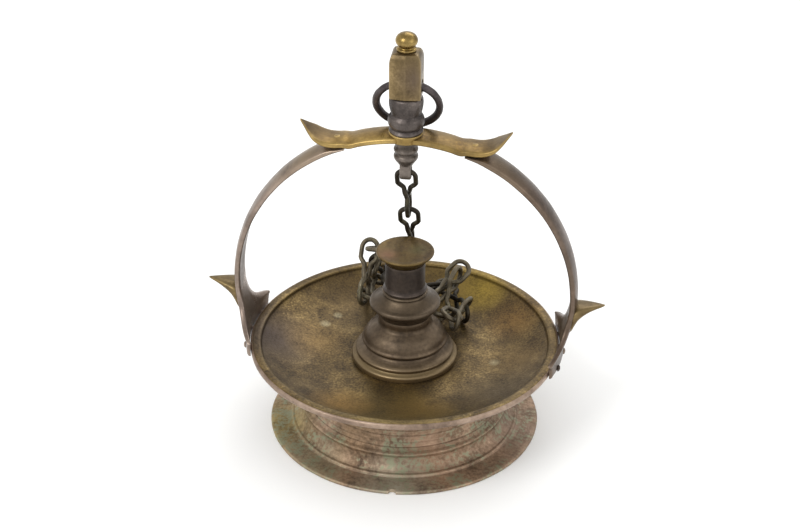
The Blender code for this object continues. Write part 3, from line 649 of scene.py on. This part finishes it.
def make_rivets():
    for word, side in (("left", -1), ("right", 1)):
        for number, degrees in enumerate((-11.5, 0.0, 11.5), start=1):
            turn = radians(degrees) if side > 0 else pi + radians(degrees)
            dome = [(0.0, 109.5), (0.9, 109.4), (1.8, 109.0), (2.3, 108.3), (2.0, 107.9), (1.4, 107.7),
                    (1.3, 104.0),
                    (0.0, 104.0)]
            bm = grid(lathe(dome, 32), cap=False)
            bm.transform(Matrix.Translation((0, 0, 62.6 * MM)) @ Matrix.Rotation(turn, 4, "Z")
                         @ Matrix.Rotation(pi / 2, 4, "Y"))
            name = f"foot_rivet_{word}_{number}"
            # each rivet takes its leg's copy, painted light on the left and painted shade on the right
            piece(name + "_body", bm, MATS["leg_" + word], "lamp", [name])
        head = [(0.0, 214.86), (1.2, 214.82), (2.0, 214.68), (2.4, 214.3), (1.5, 213.4), (1.4, 208.0),
                (2.2, 206.6),
                (1.8, 205.8), (0.0, 205.5)]
        bm = grid(lathe(head, 32), cap=False)
        bm.transform(Matrix.Translation((side * 44.5 * MM, 0, 0)))
        name = f"crown_rivet_{word}"
        piece(name + "_body", bm, MATS["crown"], "lamp", [name])


# --------------------------------------------------------------------------- finial, ring, swivel
def make_finial():
    boss = [(9.3, 246.5), (10.2, 246.0), (10.8, 245.0), (11.1, 243.4), (11.15, 241.6), (10.9, 239.2),
            (10.5, 237.2), (10.0, 235.4), (9.8, 234.5), (10.4, 233.4), (11.4, 231.9), (11.85, 230.2),
            (11.85, 228.4), (11.4, 226.6),
            (10.4, 225.2), (10.0, 224.4), (10.7, 223.5), (11.2, 222.7), (11.0, 221.9)]
    recess = [(4.3, 221.9), (4.3, 242.0), (7.1, 242.0), (7.1, 246.5)]
    bm = grid(lathe([tuple(p) for p in spline(boss, 4)] + recess, STEPS_FINE), closed_along=True)
    roughen(bm, 0.10 * MM, 0.006)
    piece("swivel_boss_body", bm, MATS["boss"], "lamp", ["swivel_boss"])

    levels = spline([(246.8, 0.95), (247.1, 0.98), (247.8, 0.995), (249.4, 1.0), (258.0, 1.0), (269.6, 1.0),
                     (272.4, 0.985), (274.6, 0.94), (276.2, 0.86), (277.2, 0.77), (277.7, 0.62)], 4)
    wide, deep, ridge, chamfer = 10.2, 8.55, 1.2, 1.0
    front = [(-wide, -2.5), (-wide, chamfer - deep), (-wide + 0.25 * chamfer, 0.25 * chamfer - deep),
             (chamfer - wide, -deep), (-6.0, -deep - 0.45 * ridge), (-1.2, -deep - 0.88 * ridge),
             (0.0, -deep - ridge), (1.2, -deep - 0.88 * ridge), (6.0, -deep - 0.45 * ridge),
             (wide - chamfer, -deep), (wide - 0.25 * chamfer, 0.25 * chamfer - deep), (wide, chamfer - deep),
             (wide, -2.5)]
    outline = front + [(-x, -y) for x, y in front]
    rings = [[Vector((x * scale, y * scale, z)) * MM for x, y in outline] for z, scale in levels]
    bm = cut(grid(rings), rod(4.6, 60.0, (0, 0, 254.0), "X"), rod(3.6, 2.4, (0, 0, 246.7)),
             rod(2.9, 14.0, (0, 0, 277.7)))
    piece("finial_post_body", bm, MATS["post"], "lamp", ["finial_post"], sharp=28.0)

    knob = [(0.0, 289.9), (1.8, 289.75), (3.8, 289.2), (5.6, 288.1), (6.8, 286.4), (7.2, 284.6), (6.7, 282.7),
            (5.7, 281.4), (5.1, 280.7), (5.5, 280.0), (6.3, 279.5), (6.5, 278.8), (6.2, 278.1), (2.6, 278.0),
            (2.6, 272.0), (0.0, 272.0)]
    bm = grid(lathe([tuple(p) for p in spline(knob[:13], 4)] + knob[13:], STEPS_FINE), cap=False)
    piece("finial_knob_body", bm, MATS["knob"], "lamp", ["finial_knob"])


def make_ring():
    drop, lean = 19.13, radians(24.6)
    rings = []
    for i in range(96):
        a = 2 * pi * i / 96
        thick = 2.5 + 0.12 * sin(3 * a + 0.6) - 0.18 * max(0.0, cos(a)) ** 6
        centre = Vector((20.5 * sin(a), 0, 20.5 * cos(a) - drop))
        out = Vector((sin(a), 0, cos(a)))
        ring = []
        for k in range(18):
            b = 2 * pi * k / 18
            ring.append((centre + out * thick * cos(b) + Vector((0, 1, 0)) * thick * sin(b)) * MM)
        rings.append(ring)
    bm = grid(rings, closed_along=True)
    roughen(bm, 0.14 * MM, 0.004)
    bm.transform(Matrix.Translation((0, 0, 254.0 * MM)) @ Matrix.Rotation(lean, 4, "X"))
    piece("hanging_ring_body", bm, MATS["iron"], "ring", ["hanging_ring"])


def make_swivel():
    line = [(3.9, 216.0), (6.6, 215.9), (7.2, 215.2), (7.2, 213.2), (7.0, 211.6), (7.4, 210.2), (8.0, 208.9),
            (7.8, 207.6), (7.1, 206.4), (7.2, 205.4), (7.9, 204.3), (8.0, 203.0), (7.5, 201.6), (6.2, 199.8),
            (4.9, 198.0), (4.0, 196.6)]
    full = [(0.0, 247.4), (2.6, 247.4), (2.9, 247.0), (2.9, 242.3), (3.9, 242.3)]
    full += [tuple(p) for p in spline(line, 3)] + [(0.0, 196.2)]
    body = grid(lathe(full, STEPS_FINE), cap=False)
    outline = [(-4.0, 201.0), (-4.6, 197.0), (-5.2, 194.0)]
    outline += [(5.4 * cos(pi + pi * i / 14), 191.9 + 5.4 * sin(pi + pi * i / 14)) for i in range(15)]
    outline += [(5.2, 194.0), (4.6, 197.0), (4.0, 201.0)]
    rings = []
    for x, shrink in ((-3.65, 0.86), (-3.35, 0.95), (-2.7, 1.0), (2.7, 1.0), (3.35, 0.95), (3.65, 0.86)):
        rings.append([Vector((x, y * shrink, 193.0 + (z - 193.0) * shrink)) * MM for y, z in outline])
    bm = cut(body, grid(rings), operation="UNION")
    bm = cut(bm, rod(3.4, 40.0, (0, 0, 191.9), "X"))
    piece("swivel_eye_body", bm, MATS["eye"], "swivel", ["swivel_eye"])


# --------------------------------------------------------------------------- chain
WIRE = 1.7
PITCH = 41.0
BITE = 1.875                    # from the wire's middle to where two links bear
LOOP = 6.1
LOOP_REACH = 12.5               # from the link's end, where the loop starts to close
WAIST_REACH = 18.5              # the same, where it is closed
TWIST = 2.0
LINK_BODIES = {1: "chain_link_01", 2: "chain_link_02"}      # the others ride with the heap
LINK_COUNT = 14


def ease(t):
    t = min(1.0, max(0.0, t))
    return t * t * (3 - 2 * t)


def link_path(count=84):
    """The middle of the wire round one link, about the link's middle.

    Its top loop is in XZ and its lower loop, a quarter turn on, is in YZ.
    """
    length = PITCH + 2 * BITE
    path = []
    for i in range(count):
        t = 2 * pi * i / count
        along = 0.5 * (1 - cos(t)) * length
        from_end = min(along, length - along)
        half = sqrt(LOOP ** 2 - max(0.0, LOOP - from_end) ** 2)
        half += (TWIST - half) * ease((from_end - LOOP_REACH) / (WAIST_REACH - LOOP_REACH))
        half = half if t < pi else -half
        turn = radians(90.0) * ease((along / length - 0.36) / 0.28)
        path.append(Vector((half * cos(turn), half * sin(turn), length / 2 - along)))
    return path


def link_mesh(seed):
    """The wire swept round the link's path, a little uneven in thickness."""
    path = link_path()
    count = len(path)
    normal = Vector((0, 1, 0))
    frames = []
    for i in range(count):
        tangent = (path[(i + 1) % count] - path[i - 1]).normalized()
        normal = (normal - tangent * normal.dot(tangent)).normalized()
        frames.append((tangent, normal.copy()))
    last = (frames[-1][1] - frames[0][0] * frames[-1][1].dot(frames[0][0])).normalized()
    slip = last.angle(frames[0][1]) * (1 if last.cross(frames[0][1]).dot(frames[0][0]) > 0 else -1)
    rings = []
    for i, (tangent, normal) in enumerate(frames):
        normal = Quaternion(tangent, slip * i / count) @ normal
        side = tangent.cross(normal)
        thick = WIRE * (0.97 + 0.06 * noise.noise(path[i] * 0.35 + Vector((seed, 0, 0))))
        ring = []
        for k in range(14):
            a = 2 * pi * k / 14
            ring.append((path[i] + (normal * cos(a) + side * sin(a)) * thick) * MM)
        rings.append(ring)
    return grid(rings, closed_along=True)


def link_place(node):
    """Where a CAD link lies: its middle, its long way as Z and its upper loop's spread as X.

    A link looks the same with its ends swapped and turned a quarter, so either end can be the upper.
    """
    points = np.array([v.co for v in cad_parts[node].data.vertices])
    points = np.unique(points.round(7), axis=0)
    middle = points.mean(0)
    away = points - middle
    up = np.linalg.svd(away, full_matrices=False)[2][0]
    level = away @ up
    loop = away[level > level.max() - 2 * LOOP * MM]
    flat = loop - np.outer(loop @ up, up)
    across = Vector(np.linalg.svd(flat, full_matrices=False)[2][0])
    up = Vector(up)
    turn = Matrix((across, up.cross(across), up)).transposed().to_4x4()
    return Matrix.Translation(Vector(middle)) @ turn


def make_chain():
    for number in range(1, LINK_COUNT + 1):
        node = f"chain_link_{number:02d}"
        bm = link_mesh(number * 3.7)
        bm.transform(link_place(node))
        body = LINK_BODIES.get(number, "chain_heap")
        piece(node + "_body", bm, MATS["link"], body, [node], sharp=60.0)


make_dish()
make_foot()
make_pillar()
for side, word in ((-1, "left"), (1, "right")):
    make_leg(side, word)
make_crown()
make_rivets()
make_finial()
make_ring()
make_swivel()
make_chain()
for name in ("tie_rod", "tie_washer", "tie_nut", "swivel_nut"):
    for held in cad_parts[name].material_slots:
        held.link = "OBJECT"
        held.material = MATS["iron"]

# --------------------------------------------------------------------------- stage, camera and light
AZIMUTH, ELEVATION, ROLL = 7.2, 30.7, 0.39      # of the camera, degrees
DISTANCE = 1.334                # metres
AIM_HEIGHT = 120.4              # millimetres
LENS, SENSOR = 90.0, 36.0       # millimetres
SHIFT = -0.0065                 # of the frame's width
SKY_STRENGTH = 0.95
KEY_WATTS, FILL_WATTS, BACK_WATTS = 16.0, 3.0, 8.0


def make_stage():
    bm = bmesh.new()
    bmesh.ops.create_circle(bm, cap_ends=True, segments=96, radius=6.0)
    mesh = bpy.data.meshes.new("floor")
    bm.to_mesh(mesh)
    bm.free()
    mesh.materials.append(floor_material())
    floor = bpy.data.objects.new("floor", mesh)
    floor.location.z = -0.0002
    bpy.context.scene.collection.objects.link(floor)


def floor_material():
    mat = bpy.data.materials.new("floor_pale")
    mat.use_nodes = True
    shader = mat.node_tree.nodes["Principled BSDF"]
    shader.inputs["Base Color"].default_value = (0.93, 0.93, 0.92, 1.0)
    shader.inputs["Roughness"].default_value = 0.8
    return mat


def area_light(name, place, target, size, power, colour=(1, 1, 1)):
    data = bpy.data.lights.new(name, "AREA")
    data.shape = "RECTANGLE"
    data.size, data.size_y = size
    data.energy = power
    data.color = colour
    light = bpy.data.objects.new(name, data)
    light.location = place
    light.rotation_euler = (Vector(target) - Vector(place)).to_track_quat("-Z", "Y").to_euler()
    bpy.context.scene.collection.objects.link(light)


def make_camera():
    azimuth, elevation, roll = radians(AZIMUTH), radians(ELEVATION), radians(ROLL)
    target = Vector((0, 0, AIM_HEIGHT)) * MM
    back = Vector((sin(azimuth) * cos(elevation), -cos(azimuth) * cos(elevation), sin(elevation)))
    data = bpy.data.cameras.new("camera")
    data.lens = LENS
    data.sensor_width = SENSOR
    data.shift_x = SHIFT
    camera = bpy.data.objects.new("camera", data)
    turn = (-back).to_track_quat("-Z", "Y") @ Quaternion((0, 0, 1), roll)
    camera.matrix_world = Matrix.Translation(target + back * DISTANCE) @ turn.to_matrix().to_4x4()
    bpy.context.scene.collection.objects.link(camera)
    bpy.context.scene.camera = camera


def make_light():
    world = bpy.data.worlds.new("studio")
    world.use_nodes = True
    world.node_tree.nodes["Background"].inputs["Color"].default_value = (1.0, 1.0, 1.0, 1.0)
    world.node_tree.nodes["Background"].inputs["Strength"].default_value = SKY_STRENGTH
    bpy.context.scene.world = world
    bpy.context.scene.view_settings.view_transform = "Standard"
    middle = (0, 0, 0.12)
    area_light("key", (-0.9, -1.1, 1.5), middle, (0.9, 0.9), KEY_WATTS)
    area_light("fill", (1.3, -0.6, 0.9), middle, (0.8, 1.0), FILL_WATTS)
    area_light("back", (0.3, 1.3, 1.4), middle, (1.2, 0.6), BACK_WATTS)


make_stage()
make_camera()
make_light()
